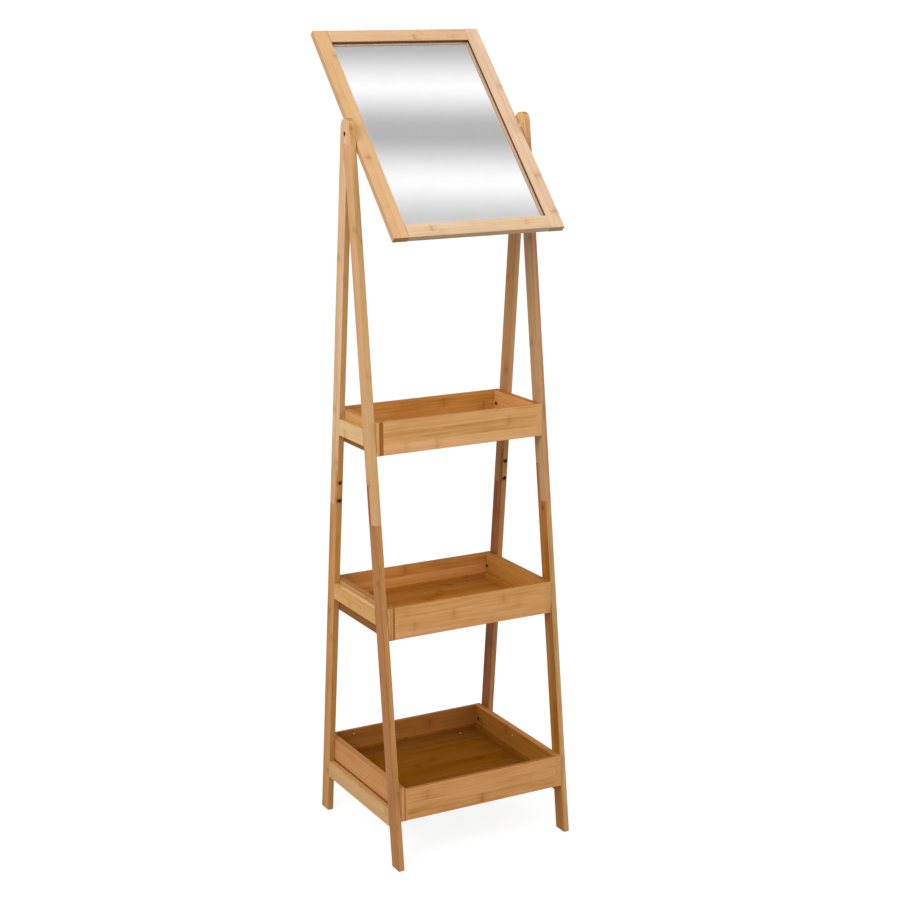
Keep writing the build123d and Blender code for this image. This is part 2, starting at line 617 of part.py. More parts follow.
# ---------------------------------------------------------------- the pivots
for side, sg in SIDES.items():
    axis = Plane(origin=(sg * half_w, PIVOT_Y, PIVOT_Z), x_dir=(0, sg, 0), z_dir=(sg, 0, 0))
    with BuildPart() as insert:
        with BuildSketch(axis.offset(-14)):
            Circle(3.5)
        extrude(amount=14)
        with BuildSketch(axis.offset(-12)):
            Circle(2.5 + FIT)
        extrude(amount=13, mode=Mode.SUBTRACT)
    save(insert.part, f"{side}_pivot_insert")
    with BuildPart() as washer:
        with BuildSketch(axis):
            Circle(6.5)
            Circle(2.5 + FIT, mode=Mode.SUBTRACT)
        extrude(amount=X_IN - half_w - 0.3)
    save(washer.part, f"{side}_pivot_washer")
    head_in = X_OUT - 4.0 - half_w + 0.3
    with BuildPart() as bolt:
        with BuildSketch(axis.offset(-12)):
            Circle(2.5)
        extrude(amount=12 + head_in)
        with BuildSketch(axis.offset(head_in)):
            Circle(4.25)
        extrude(amount=3.0)
        fillet(bolt.edges().filter_by(GeomType.CIRCLE).sort_by(Axis.X)[-1 if sg > 0 else 0], 0.8)
        with BuildSketch(axis.offset(head_in + 1.2)):
            RegularPolygon(radius=2.0, side_count=6)
        extrude(amount=3.0, mode=Mode.SUBTRACT)
    save(bolt.part, f"{side}_pivot_bolt")

print("Y0", round(Y0, 3), "pivot", round(PIVOT_Y, 3), PIVOT_Z, "feet", round(YF, 2), round(YR, 2),
      "meet", round(MEET_Z, 1), "files", len(os.listdir("parts")))
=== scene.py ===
import bpy
import json
import math
from mathutils import Matrix, Vector


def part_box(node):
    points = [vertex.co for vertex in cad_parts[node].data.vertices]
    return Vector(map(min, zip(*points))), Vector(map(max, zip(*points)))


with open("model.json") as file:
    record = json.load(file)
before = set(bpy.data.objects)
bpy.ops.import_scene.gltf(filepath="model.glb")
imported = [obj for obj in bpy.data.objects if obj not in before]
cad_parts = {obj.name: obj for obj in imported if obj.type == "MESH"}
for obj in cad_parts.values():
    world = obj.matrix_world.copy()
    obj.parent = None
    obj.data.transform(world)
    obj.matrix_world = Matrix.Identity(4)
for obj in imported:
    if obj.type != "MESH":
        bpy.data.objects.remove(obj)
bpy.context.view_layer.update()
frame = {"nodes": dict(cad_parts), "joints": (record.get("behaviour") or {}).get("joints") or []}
nodes = frame["nodes"]

# ------------------------------------------------------------------ colours


def lin(rgb):
    """sRGB 0-255 to linear."""
    out = []
    for c in rgb:
        c = c / 255.0
        out.append(c / 12.92 if c <= 0.04045 else ((c + 0.055) / 1.055) ** 2.4)
    return tuple(out)


class Tree:
    """Small helper for building shader node trees."""

    def __init__(self, mat):
        mat.use_nodes = True
        self.t = mat.node_tree
        self.t.nodes.clear()
        self.out = self.t.nodes.new("ShaderNodeOutputMaterial")

    def node(self, kind, **props):
        n = self.t.nodes.new(kind)
        for k, v in props.items():
            setattr(n, k, v)
        return n

    def put(self, sock, value):
        if isinstance(value, bpy.types.NodeSocket):
            self.t.links.new(value, sock)
        else:
            sock.default_value = value

    def math(self, op, a, b=None, c=None, clamp=False):
        n = self.node("ShaderNodeMath", operation=op, use_clamp=clamp)
        for i, v in enumerate((a, b, c)):
            if v is not None:
                self.put(n.inputs[i], v)
        return n.outputs[0]

    def vmath(self, op, a, b=None):
        n = self.node("ShaderNodeVectorMath", operation=op)
        self.put(n.inputs[0], a)
        if b is not None:
            self.put(n.inputs[1], b)
        return n.outputs["Value"] if op in ("DOT_PRODUCT", "LENGTH") else n.outputs["Vector"]

    def xyz(self, x, y, z):
        n = self.node("ShaderNodeCombineXYZ")
        for i, v in enumerate((x, y, z)):
            self.put(n.inputs[i], v)
        return n.outputs[0]

    def noise(self, vec, scale=1.0, detail=2.0, rough=0.5, distortion=0.0):
        n = self.node("ShaderNodeTexNoise", noise_dimensions="3D")
        self.put(n.inputs["Vector"], vec)
        n.inputs["Scale"].default_value = scale
        n.inputs["Detail"].default_value = detail
        n.inputs["Roughness"].default_value = rough
        n.inputs["Distortion"].default_value = distortion
        return n.outputs["Fac"]

    def white(self, vec):
        n = self.node("ShaderNodeTexWhiteNoise", noise_dimensions="3D")
        self.put(n.inputs["Vector"], vec)
        return n.outputs["Value"], n.outputs["Color"]

    def step(self, v, lo, hi, a=0.0, b=1.0):
        """Smooth step of v from lo to hi, giving a to b."""
        n = self.node("ShaderNodeMapRange", interpolation_type="SMOOTHSTEP", clamp=True)
        self.put(n.inputs["Value"], v)
        n.inputs["From Min"].default_value = lo
        n.inputs["From Max"].default_value = hi
        n.inputs["To Min"].default_value = a
        n.inputs["To Max"].default_value = b
        return n.outputs["Result"]

    def mix(self, fac, a, b, blend="MIX"):
        n = self.node("ShaderNodeMix", data_type="RGBA", blend_type=blend)
        self.put(n.inputs["Factor"], fac)
        for s, v in ((n.inputs[6], a), (n.inputs[7], b)):
            if isinstance(v, tuple) and len(v) == 3:
                v = (*v, 1.0)
            self.put(s, v)
        return n.outputs[2]

    def ramp(self, fac, stops, interp="LINEAR"):
        n = self.node("ShaderNodeValToRGB")
        r = n.color_ramp
        r.interpolation = interp
        while len(r.elements) > 1:
            r.elements.remove(r.elements[-1])
        r.elements[0].position = stops[0][0]
        r.elements[0].color = (*stops[0][1], 1)
        for p, c in stops[1:]:
            e = r.elements.new(p)
            e.color = (*c, 1)
        self.put(n.inputs["Fac"], fac)
        return n.outputs["Color"]

    def bump(self, height, strength, distance, normal=None):
        n = self.node("ShaderNodeBump")
        self.put(n.inputs["Height"], height)
        n.inputs["Strength"].default_value = strength
        n.inputs["Distance"].default_value = distance
        if normal is not None:
            self.put(n.inputs["Normal"], normal)
        return n.outputs["Normal"]

    def principled(self, **vals):
        n = self.node("ShaderNodeBsdfPrincipled")
        for k, v in vals.items():
            self.put(n.inputs[k.replace("_", " ")], v)
        self.t.links.new(n.outputs["BSDF"], self.out.inputs["Surface"])
        return n


def scaled(rgb, k, sat=1.0):
    """A linear colour made k times as bright, and more or less saturated."""
    m = sum(rgb) / 3
    return tuple(max(0.0, min(0.96, (m + (c - m) * sat) * k)) for c in rgb)


# ------------------------------------------------------- laminated bamboo


def bamboo(name, base, A, B, C, origin, half, strip, pitch=0.27, seed=1.0, marks=(),
           contrast=1.0, painted_facing_light=(), end_dark=1.0, dual=None, faces=(), ends=(), mark_amount=1.0, offset=0.0,
           spec=0.22, coat=0.08, end_sat=1.14, knots=(), painted_face_bands=(), end_base=None):
    """Lacquered bamboo glued up from flat strips.
    A, B, C: grain, strip width and thickness directions. origin: the middle of the board.
    half: half sizes along A, B, C. strip: strip width. marks: (a, b, strength) of single node marks.
    shades: (direction, colour factor) for faces that look that way: painted light and shade, such as the shade inside
    a tray.
    faces: (axis letter, low, high, colour factor) for a stretch of the board along that axis.
    lips: (direction, axis letter, low, high, colour factor) for a stretch of one face: painted shade and light, such
    as the shadow under a side rail.
    ends: the same, on the cut ends only, for boards of two plies."""
    mat = bpy.data.materials.new(name)
    t = Tree(mat)
    tc = t.node("ShaderNodeTexCoord")
    P = t.vmath("SUBTRACT", tc.outputs["Object"], tuple(origin))
    N = tc.outputs["Normal"]
    a = t.vmath("DOT_PRODUCT", P, tuple(A))
    b = t.vmath("DOT_PRODUCT", P, tuple(B))
    c = t.vmath("DOT_PRODUCT", P, tuple(C))
    along = t.vmath("DOT_PRODUCT", N, tuple(A))
    if dual is not None:
        # strips that run the other way beyond this distance along A
        sw = t.math("GREATER_THAN", t.math("ABSOLUTE", a), dual)
        a2 = t.math("ADD", a, t.math("MULTIPLY", t.math("SUBTRACT", b, a), sw))
        b2 = t.math("ADD", b, t.math("MULTIPLY", t.math("SUBTRACT", a, b), sw))
        across = t.vmath("DOT_PRODUCT", N, tuple(B))
        along = t.math("ADD", along, t.math("MULTIPLY", t.math("SUBTRACT", across, along), sw))
        a, b = a2, b2

    # every strip has its own tone, and its nodes fall in their own places
    bs = t.math("DIVIDE", t.math("ADD", b, half[1] + offset), strip)
    i = t.math("FLOOR", bs)
    k = t.math("FLOOR", t.math("DIVIDE", t.math("ADD", c, half[2]), 0.0066))
    hv, hc = t.white(t.xyz(i, k, seed))
    rgb = t.node("ShaderNodeSeparateColor")
    t.put(rgb.inputs[0], hc)
    r1, r2, r3 = rgb.outputs[0], rgb.outputs[1], rgb.outputs[2]

    shift = t.math("MULTIPLY", hv, 37.0)
    wave = t.noise(t.xyz(t.math("MULTIPLY", a, 9.0), t.math("MULTIPLY", b, 30.0),
                         t.math("ADD", t.math("MULTIPLY", c, 30.0), seed)), 1.0, 2.0)
    bw = t.math("ADD", b, t.math("MULTIPLY", t.math("SUBTRACT", wave, 0.5), 0.0045))
    sx = t.math("ADD", shift, seed * 3.1)
    broad = t.noise(t.xyz(t.math("ADD", t.math("MULTIPLY", a, 5.0), sx), t.math("MULTIPLY", bw, 190.0),
                          t.math("MULTIPLY", c, 190.0)), 1.0, 3.0, 0.55)
    mid = t.noise(t.xyz(t.math("ADD", t.math("MULTIPLY", a, 9.0), sx), t.math("MULTIPLY", bw, 460.0),
                        t.math("MULTIPLY", c, 460.0)), 1.0, 2.0, 0.6)
    fine = t.noise(t.xyz(t.math("ADD", t.math("MULTIPLY", a, 34.0), sx), t.math("MULTIPLY", bw, 1700.0),
                         t.math("MULTIPLY", c, 1700.0)), 1.0, 2.0, 0.6)
    cloud = t.noise(t.xyz(t.math("ADD", t.math("MULTIPLY", a, 6.5), sx), t.math("MULTIPLY", b, 22.0),
                          t.math("MULTIPLY", c, 22.0)), 1.0, 2.0, 0.5)

    # long streaks that fade in and out
    streak = t.noise(t.xyz(t.math("ADD", t.math("MULTIPLY", a, 3.2), sx), t.math("MULTIPLY", bw, 330.0),
                           t.math("MULTIPLY", c, 330.0)), 1.0, 3.0, 0.62, 0.25)
    streak = t.step(streak, 0.50, 0.66)
    fade = t.step(t.noise(t.xyz(t.math("ADD", t.math("MULTIPLY", a, 14.0), sx), t.math("MULTIPLY", b, 60.0), seed),
                          1.0, 2.0, 0.5), 0.42, 0.60)
    streak = t.math("MULTIPLY", streak, fade)
    v = t.math("SUBTRACT", 0.54, t.math("MULTIPLY", streak, 0.26 * contrast))
    v = t.math("ADD", v, t.math("MULTIPLY", t.math("SUBTRACT", broad, 0.5), 0.85 * contrast))
    v = t.math("ADD", v, t.math("MULTIPLY", t.math("SUBTRACT", mid, 0.5), 0.50 * contrast))
    v = t.math("ADD", v, t.math("MULTIPLY", t.math("SUBTRACT", fine, 0.5), 0.42 * contrast))
    v = t.math("ADD", v, t.math("MULTIPLY", t.math("SUBTRACT", cloud, 0.5), 0.60 * contrast))
    v = t.math("ADD", v, t.math("MULTIPLY", t.math("SUBTRACT", r3, 0.5), 0.34 * contrast), clamp=True)
    col = t.ramp(v, [(0.0, scaled(base, 0.66, 1.14)), (0.30, scaled(base, 0.87, 1.06)), (0.52, scaled(base, 1.0)),
                     (0.75, scaled(base, 1.09, 0.94)), (1.0, scaled(base, 1.22, 0.86))])

    # the sparse dark vessels of the fibres
    vessel = t.step(t.noise(t.xyz(t.math("ADD", t.math("MULTIPLY", a, 16.0), sx), t.math("MULTIPLY", bw, 900.0),
                                  t.math("MULTIPLY", c, 900.0)), 1.0, 1.0, 0.5), 0.66, 0.78)
    col = t.mix(t.math("MULTIPLY", vessel, 0.30 * contrast), col, (0.55, 0.42, 0.30), "MULTIPLY")

    # node marks: a wavy dark line with a soft, slightly browner halo
    jitter = t.math("MULTIPLY", t.math("SUBTRACT", t.noise(
        t.xyz(t.math("MULTIPLY", a, 40.0), t.math("MULTIPLY", b, 260.0), t.math("MULTIPLY", c, 260.0)), 1.0, 2.0), 0.5), 0.009)
    phase = t.math("ADD", t.math("DIVIDE", a, pitch), r1)
    turn = t.math("FLOOR", phase)
    there, _ = t.white(t.xyz(t.math("ADD", turn, i), seed + 5.0, k))
    there = t.math("MULTIPLY", t.step(there, 0.30, 0.62, 0.12, 1.0), mark_amount)
    d = t.math("MULTIPLY", t.math("SUBTRACT", t.math("FRACT", phase), 0.5), pitch)
    d = t.math("ABSOLUTE", t.math("ADD", d, jitter))
    line = t.math("MULTIPLY", t.step(d, 0.0002, 0.0058, 1.0, 0.0), t.math("MULTIPLY", there, 0.62))
    halo = t.math("MULTIPLY", t.step(d, 0.001, 0.020, 1.0, 0.0), there)
    for (ma, mb, ms) in marks:
        da = t.math("ABSOLUTE", t.math("ADD", t.math("SUBTRACT", a, ma), jitter))
        db = t.math("ABSOLUTE", t.math("SUBTRACT", b, mb))
        near = t.math("MULTIPLY", t.step(db, strip * 0.30, strip * 0.62, 1.0, 0.0), ms)
        line = t.math("MAXIMUM", line, t.math("MULTIPLY", t.step(da, 0.0006, 0.0056, 1.0, 0.0), near))
        halo = t.math("MAXIMUM", halo, t.math("MULTIPLY", t.step(da, 0.001, 0.021, 1.0, 0.0), near))
    grainy = t.step(mid, 0.30, 0.66, 0.55, 1.0)
    col = t.mix(t.math("MULTIPLY", halo, 0.34), col, (0.70, 0.58, 0.42), "MULTIPLY")
    col = t.mix(t.math("MULTIPLY", t.math("MULTIPLY", line, grainy), 0.52), col, (0.50, 0.36, 0.24), "MULTIPLY")

    # knots: a small dark eye in a browner ring
    for (ka, kb, kr, ks) in knots:
        da = t.math("DIVIDE", t.math("SUBTRACT", a, ka), kr * 1.5)
        db = t.math("DIVIDE", t.math("SUBTRACT", bw, kb), kr)
        dist = t.math("SQRT", t.math("ADD", t.math("MULTIPLY", da, da), t.math("MULTIPLY", db, db)))
        dist = t.math("ADD", dist, t.math("MULTIPLY", t.math("SUBTRACT", mid, 0.5), 0.7))
        col = t.mix(t.math("MULTIPLY", t.step(dist, 0.7, 2.3, 1.0, 0.0), 0.45 * ks), col, (0.62, 0.46, 0.30), "MULTIPLY")
        col = t.mix(t.math("MULTIPLY", t.step(dist, 0.3, 1.1, 1.0, 0.0), 0.85 * ks), col, (0.30, 0.15, 0.07), "MULTIPLY")

    # glue lines between strips
    fb = t.math("FRACT", bs)
    seam_d = t.math("MULTIPLY", t.math("MINIMUM", fb, t.math("SUBTRACT", 1.0, fb)), strip)
    seam = t.step(seam_d, 0.0001, 0.0007, 1.0, 0.0)
    col = t.mix(t.math("MULTIPLY", seam, 0.22), col, (0.55, 0.42, 0.28), "MULTIPLY")

    # cut ends are darker, and show the fibre bundles as dots
    end = t.step(t.math("ABSOLUTE", along), 0.72, 0.92)
    dots = t.noise(t.xyz(t.math("MULTIPLY", a, 300.0), t.math("MULTIPLY", b, 1500.0), t.math("MULTIPLY", c, 1500.0)),
                   1.0, 1.0)
    eb = end_base or base
    end_col = t.ramp(t.step(dots, 0.32, 0.68), [(0.0, scaled(eb, 0.44 * end_dark, end_sat + 0.06)),
                                                (1.0, scaled(eb, 0.78 * end_dark, end_sat - 0.06))])
    for (axis, lo, hi, factor) in ends:
        s = {"a": a, "b": b, "c": c}[axis]
        inside = t.math("MULTIPLY", t.step(s, lo - 0.0005, lo + 0.0005), t.step(s, hi - 0.0005, hi + 0.0005, 1.0, 0.0))
        end_col = t.mix(inside, end_col, factor, "MULTIPLY")
    col = t.mix(end, col, end_col)

    # painted light and shade: a colour factor on the faces that look one way
    for (direction, factor) in painted_facing_light:
        facing = t.step(t.vmath("DOT_PRODUCT", N, tuple(direction)), 0.55, 0.85)
        col = t.mix(facing, col, factor, "MULTIPLY")
    for (direction, axis, lo, hi, factor) in painted_face_bands:
        # a stretch of one face only: painted shade and light there, such as the shadow under a rail
        facing = t.step(t.vmath("DOT_PRODUCT", N, tuple(direction)), 0.55, 0.85)
        s = {"a": a, "b": b, "c": c}[axis]
        inside = t.math("MULTIPLY", t.step(s, lo - 0.0004, lo + 0.0004), t.step(s, hi - 0.0002, hi + 0.0006, 1.0, 0.0))
        col = t.mix(t.math("MULTIPLY", facing, inside), col, factor, "MULTIPLY")
    for (axis, lo, hi, factor) in faces:
        s = {"a": a, "b": b, "c": c}[axis]
        inside = t.math("MULTIPLY", t.step(s, lo - 0.0006, lo + 0.0006), t.step(s, hi - 0.0006, hi + 0.0006, 1.0, 0.0))
        col = t.mix(inside, col, factor, "MULTIPLY")

    # eased edges: a little darker along the long arrises, in patches
    db = t.math("SUBTRACT", half[1], t.math("ABSOLUTE", b))
    dc = t.math("SUBTRACT", half[2], t.math("ABSOLUTE", c))
    arris = t.step(t.math("ADD", db, dc), 0.0, 0.0026, 1.0, 0.0)
    if dual is None:
        arris_darkening = t.math("MULTIPLY", arris, t.step(cloud, 0.40, 0.62, 0.55, 1.0))
        col = t.mix(t.math("MULTIPLY", arris_darkening, 0.42), col, (0.78, 0.66, 0.52), "MULTIPLY")

    rough = t.math("ADD", 0.40, t.math("MULTIPLY", t.math("SUBTRACT", cloud, 0.5), 0.16))
    rough = t.math("ADD", rough, t.math("MULTIPLY", t.math("SUBTRACT", fine, 0.5), 0.14))
    rough = t.math("ADD", rough, t.math("MULTIPLY", end, 0.22), clamp=True)
    height = t.math("ADD", t.math("MULTIPLY", fine, 0.35), t.math("MULTIPLY", mid, 0.35))
    height = t.math("SUBTRACT", height, t.math("MULTIPLY", vessel, 0.35))
    height = t.math("ADD", height, t.math("MULTIPLY", line, 0.8))
    height = t.math("SUBTRACT", height, t.math("MULTIPLY", seam, 0.5))
    t.principled(Base_Color=col, Roughness=rough, Normal=t.bump(height, 0.22, 0.0006),
                 Coat_Weight=coat, Coat_Roughness=0.32, Specular_IOR_Level=spec)
    return mat


# ------------------------------------------------------- the other materials


def metal(name, base, rough, seed=0.0, scratch=0.25, metallic=1.0):
    mat = bpy.data.materials.new(name)
    t = Tree(mat)
    tc = t.node("ShaderNodeTexCoord")
    O = tc.outputs["Object"]
    grain = t.noise(t.vmath("ADD", O, (seed, 0, 0)), 900.0, 3.0, 0.6)
    patch = t.noise(O, 140.0, 2.0, 0.5)
    col = t.ramp(patch, [(0.2, scaled(base, 0.78)), (0.55, base), (0.85, scaled(base, 1.12))])
    r = t.math("ADD", rough - 0.08, t.math("MULTIPLY", grain, 0.18), clamp=True)
    t.principled(Base_Color=col, Metallic=metallic, Roughness=r, Normal=t.bump(grain, scratch, 0.0002))
    return mat


def plastic(name, base, rough):
    mat = bpy.data.materials.new(name)
    t = Tree(mat)
    tc = t.node("ShaderNodeTexCoord")
    O = tc.outputs["Object"]
    n1 = t.noise(O, 500.0, 2.0, 0.5)
    n2 = t.noise(O, 90.0, 2.0, 0.5)
    col = t.mix(t.math("MULTIPLY", n2, 0.5), base, scaled(base, 0.86))
    r = t.math("ADD", rough - 0.05, t.math("MULTIPLY", n1, 0.12), clamp=True)
    t.principled(Base_Color=col, Roughness=r, Normal=t.bump(n1, 0.15, 0.0003))
    return mat


def hardboard(name, base):
    """Brown pressed-fibre backing board."""
    mat = bpy.data.materials.new(name)
    t = Tree(mat)
    tc = t.node("ShaderNodeTexCoord")
    O = tc.outputs["Object"]
    n1 = t.noise(O, 700.0, 4.0, 0.65)
    n2 = t.noise(O, 45.0, 3.0, 0.55)
    fibre = t.node("ShaderNodeTexVoronoi", feature="F1")
    t.put(fibre.inputs["Vector"], t.vmath("MULTIPLY", O, (260.0, 900.0, 260.0)))
    fibre.inputs["Scale"].default_value = 1.0
    v = t.math("ADD", t.math("MULTIPLY", n1, 0.55), t.math("MULTIPLY", n2, 0.35))
    v = t.math("ADD", v, t.math("MULTIPLY", fibre.outputs["Distance"], 0.12), clamp=True)
    col = t.ramp(v, [(0.25, scaled(base, 0.62)), (0.5, base), (0.8, scaled(base, 1.28, 0.9))])
    t.principled(Base_Color=col, Roughness=t.step(n1, 0.3, 0.7, 0.62, 0.8), Normal=t.bump(n1, 0.35, 0.0006))
    return mat


def silvered_glass(name, half_w, half_v, origin, V, N_front):
    """Front-lit mirror glass: clear silver inside, a hazy rim with a painted warm reflection of the wood beside it,
    green glass edges.
    """
    mat = bpy.data.materials.new(name)
    t = Tree(mat)
    tc = t.node("ShaderNodeTexCoord")
    P = t.vmath("SUBTRACT", tc.outputs["Object"], tuple(origin))
    x = t.vmath("DOT_PRODUCT", P, (1, 0, 0))
    v = t.vmath("DOT_PRODUCT", P, tuple(V))
    facing = t.step(t.vmath("DOT_PRODUCT", tc.outputs["Normal"], tuple(N_front)), 0.5, 0.9)
    dx = t.math("SUBTRACT", half_w, t.math("ABSOLUTE", x))
    dv = t.math("SUBTRACT", half_v, t.math("ABSOLUTE", v))
    rim = t.step(t.math("MINIMUM", dx, dv), 0.0060, 0.0160, 1.0, 0.0)
    haze = t.noise(P, 22.0, 3.0, 0.5)
    speck = t.noise(P, 900.0, 2.0, 0.6)
    silver = t.mix(t.step(haze, 0.35, 0.75), (0.940, 0.940, 0.938), (0.922, 0.922, 0.921))
    # painted reflection: the rim takes a warm colour of the wood beside it and loses part of its metal
    silver = t.mix(rim, silver, (0.78, 0.55, 0.36))
    col = t.mix(facing, (0.16, 0.27, 0.23), silver)
    rough = t.math("ADD", 0.012, t.math("MULTIPLY", t.step(haze, 0.4, 0.8), 0.012))
    rough = t.math("ADD", rough, t.math("MULTIPLY", rim, 0.05))
    rough = t.math("ADD", rough, t.math("MULTIPLY", t.step(speck, 0.70, 0.80), 0.02))
    clear = t.math("SUBTRACT", 1.0, t.math("MULTIPLY", rim, 0.72))
    t.principled(Base_Color=col, Metallic=t.math("MULTIPLY", facing, clear), Roughness=rough)
    return mat


def pin_wood(name, base, A):
    mat = bpy.data.materials.new(name)
    t = Tree(mat)
    tc = t.node("ShaderNodeTexCoord")
    O = tc.outputs["Object"]
    s = [1500.0 - 1440.0 * abs(x) for x in A]
    n = t.noise(t.vmath("MULTIPLY", O, tuple(s)), 1.0, 3.0, 0.6)
    col = t.ramp(n, [(0.25, scaled(base, 0.8)), (0.55, base), (0.8, scaled(base, 1.1, 0.9))])
    t.principled(Base_Color=col, Roughness=t.step(n, 0.3, 0.7, 0.5, 0.66), Normal=t.bump(n, 0.2, 0.0004))
    return mat


def dress(node, mat):
    ob = nodes[node]
    ob.data.materials.clear()
    ob.data.materials.append(mat)
    for p in ob.data.polygons:
        p.material_index = 0


# ------------------------------------------------------------ board frames
X, Y, Z = Vector((1, 0, 0)), Vector((0, 1, 0)), Vector((0, 0, 1))
FRONT_LEAN, REAR_LEAN = 0.1177, 0.109
LEG_W = 0.032
nf, nr = math.hypot(1, FRONT_LEAN), math.hypot(1, REAR_LEAN)
foot_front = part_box("left_front_leg_lower")[0].y
foot_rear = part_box("left_rear_leg_lower")[1].y
JOINT_S, TONGUE_L, TONGUE_T = 0.703, 0.078, 0.0107

joint = frame["joints"][0]
pivot = Vector(joint.get("pos_m") or joint.get("anchor_m") or (0, 0.0077, 1.45))
TILT = math.radians(43.0)
MV = Vector((0, math.sin(TILT), math.cos(TILT)))       # up the glass
MN = Vector((0, -math.cos(TILT), math.sin(TILT)))      # out of the glass

# colour of each board, linear, fitted board by board: besides the bamboo's own tone it holds painted shade, most in
# the lower legs, the right legs and the bottom floor, which come out darker than boards of the same bamboo
BOARD_TONE_AND_PAINTED_SHADE = {
    "left_front_leg_upper": (0.5124, 0.2834, 0.1193),
    "left_front_leg_lower": (0.3632, 0.1435, 0.0399),
    "left_rear_leg_upper": (0.6117, 0.3812, 0.2124),
    "left_rear_leg_lower": (0.4783, 0.2217, 0.0604),
    "right_front_leg_upper": (0.4148, 0.2267, 0.1012),
    "right_front_leg_lower": (0.3456, 0.1329, 0.0165),
    "right_rear_leg_upper": (0.4182, 0.2049, 0.0661),
    "right_rear_leg_lower": (0.2788, 0.0797, 0.0060),
    "left_top_side_rail": (0.5792, 0.3711, 0.1529),
    "right_top_side_rail": (0.5792, 0.3711, 0.1529),
    "left_middle_side_rail": (0.5432, 0.2803, 0.0801),
    "right_middle_side_rail": (0.5432, 0.2803, 0.0801),
    "left_bottom_side_rail": (0.5277, 0.2878, 0.1067),
    "right_bottom_side_rail": (0.5277, 0.2878, 0.1067),
    "top_front_wall": (0.5871, 0.3055, 0.1172),
    "middle_front_wall": (0.5456, 0.2671, 0.0905),
    "bottom_front_wall": (0.5459, 0.2669, 0.0944),
    "top_rear_wall": (0.5871, 0.3055, 0.1172),
    "middle_rear_wall": (0.5456, 0.2671, 0.0905),
    "bottom_rear_wall": (0.5459, 0.2669, 0.0944),
    "top_left_wall": (0.5465, 0.2686, 0.0904),
    "middle_left_wall": (0.4948, 0.2792, 0.1142),
    "bottom_left_wall": (0.4728, 0.2234, 0.0791),
    "top_right_wall": (0.5465, 0.2686, 0.0904),
    "middle_right_wall": (0.4948, 0.2792, 0.1142),
    "bottom_right_wall": (0.4728, 0.2234, 0.0791),
    "top_floor": (0.3512, 0.1315, 0.0208),
    "middle_floor": (0.3193, 0.1195, 0.0189),
    "bottom_floor": (0.1790, 0.0606, 0.0060),
    "mirror_top_rail": (0.5308, 0.3200, 0.1713),
    "mirror_bottom_rail": (0.5692, 0.3916, 0.2330),
    "mirror_left_stile": (0.5301, 0.3129, 0.1421),
    "mirror_right_stile": (0.5957, 0.4108, 0.2627),
}

# colour factors on the inside faces of the tray walls: painted shade, darkest in the bottom tray, and painted light on
# the top tray's side walls
INSIDE_PAINTED_LIGHT_AND_SHADE = {
    "top_rear_wall": (1.0166, 0.9166, 0.5893),
    "top_right_wall": (1.1986, 1.2218, 1.2955),
    "top_left_wall": (1.1986, 1.2218, 1.2955),
    "top_front_wall": (1.0166, 0.9166, 0.5893),
    "middle_rear_wall": (1.0550, 0.9689, 0.7967),
    "middle_right_wall": (0.9389, 0.7468, 0.4103),
    "middle_left_wall": (0.9389, 0.7468, 0.4103),
    "middle_front_wall": (1.0550, 0.9689, 0.7967),
    "bottom_rear_wall": (0.6387, 0.5031, 0.2500),
    "bottom_right_wall": (0.6934, 0.5961, 0.2500),
    "bottom_left_wall": (0.6934, 0.5961, 0.2500),
    "bottom_front_wall": (0.6387, 0.5031, 0.2500),
}

# painted light on the legs: colour factor of the narrow faces that look to the front against the wide side faces,
# standing in for how the light falls on each face
LEG_FACE_PAINTED_LIGHT = {
    "left_front_leg_lower": (1.3530, 1.6878, 2.0930),
    "right_front_leg_lower": (1.5340, 2.4100, 8.2000),
    "left_rear_leg_lower": (1.0309, 1.1077, 1.0895),
    "right_rear_leg_lower": (1.6500, 2.9500, 15.0000),
    "left_front_leg_upper": (1.1366, 1.2931, 1.3512),
    "right_front_leg_upper": (1.1665, 1.1538, 1.1994),
    "left_rear_leg_upper": (0.9186, 0.8461, 0.5768),
    "right_rear_leg_upper": (1.2364, 1.4577, 1.9957),
}


def tone(key):
    return BOARD_TONE_AND_PAINTED_SHADE[key]


SEED = 3.0


def next_seed():
    global SEED
    SEED += 1.7
    return SEED


TONGUE = {"left_front_leg_lower": (0.76, 0.62, 0.48), "right_front_leg_lower": (0.88, 0.80, 0.70)}
LOW_END = {"left": (0.95, 0.90, 0.82), "right": (0.80, 0.68, 0.56)}
# along the leg, across it, radius, strength
KNOTS = {
    "left_rear_leg_lower": [(JOINT_S + 0.012, 0.016, 0.0030, 0.9), (JOINT_S + 0.053, 0.014, 0.0026, 0.8)],
    "right_rear_leg_lower": [(JOINT_S + 0.010, 0.016, 0.0026, 0.8), (JOINT_S + 0.052, 0.016, 0.0024, 0.8)],
    "right_front_leg_lower": [(0.6888, -0.0029, 0.0040, 1.0)],
}
LEG_MARKS = {"left_front_leg_upper": [(0.783, 0.0034, 0.9)]}
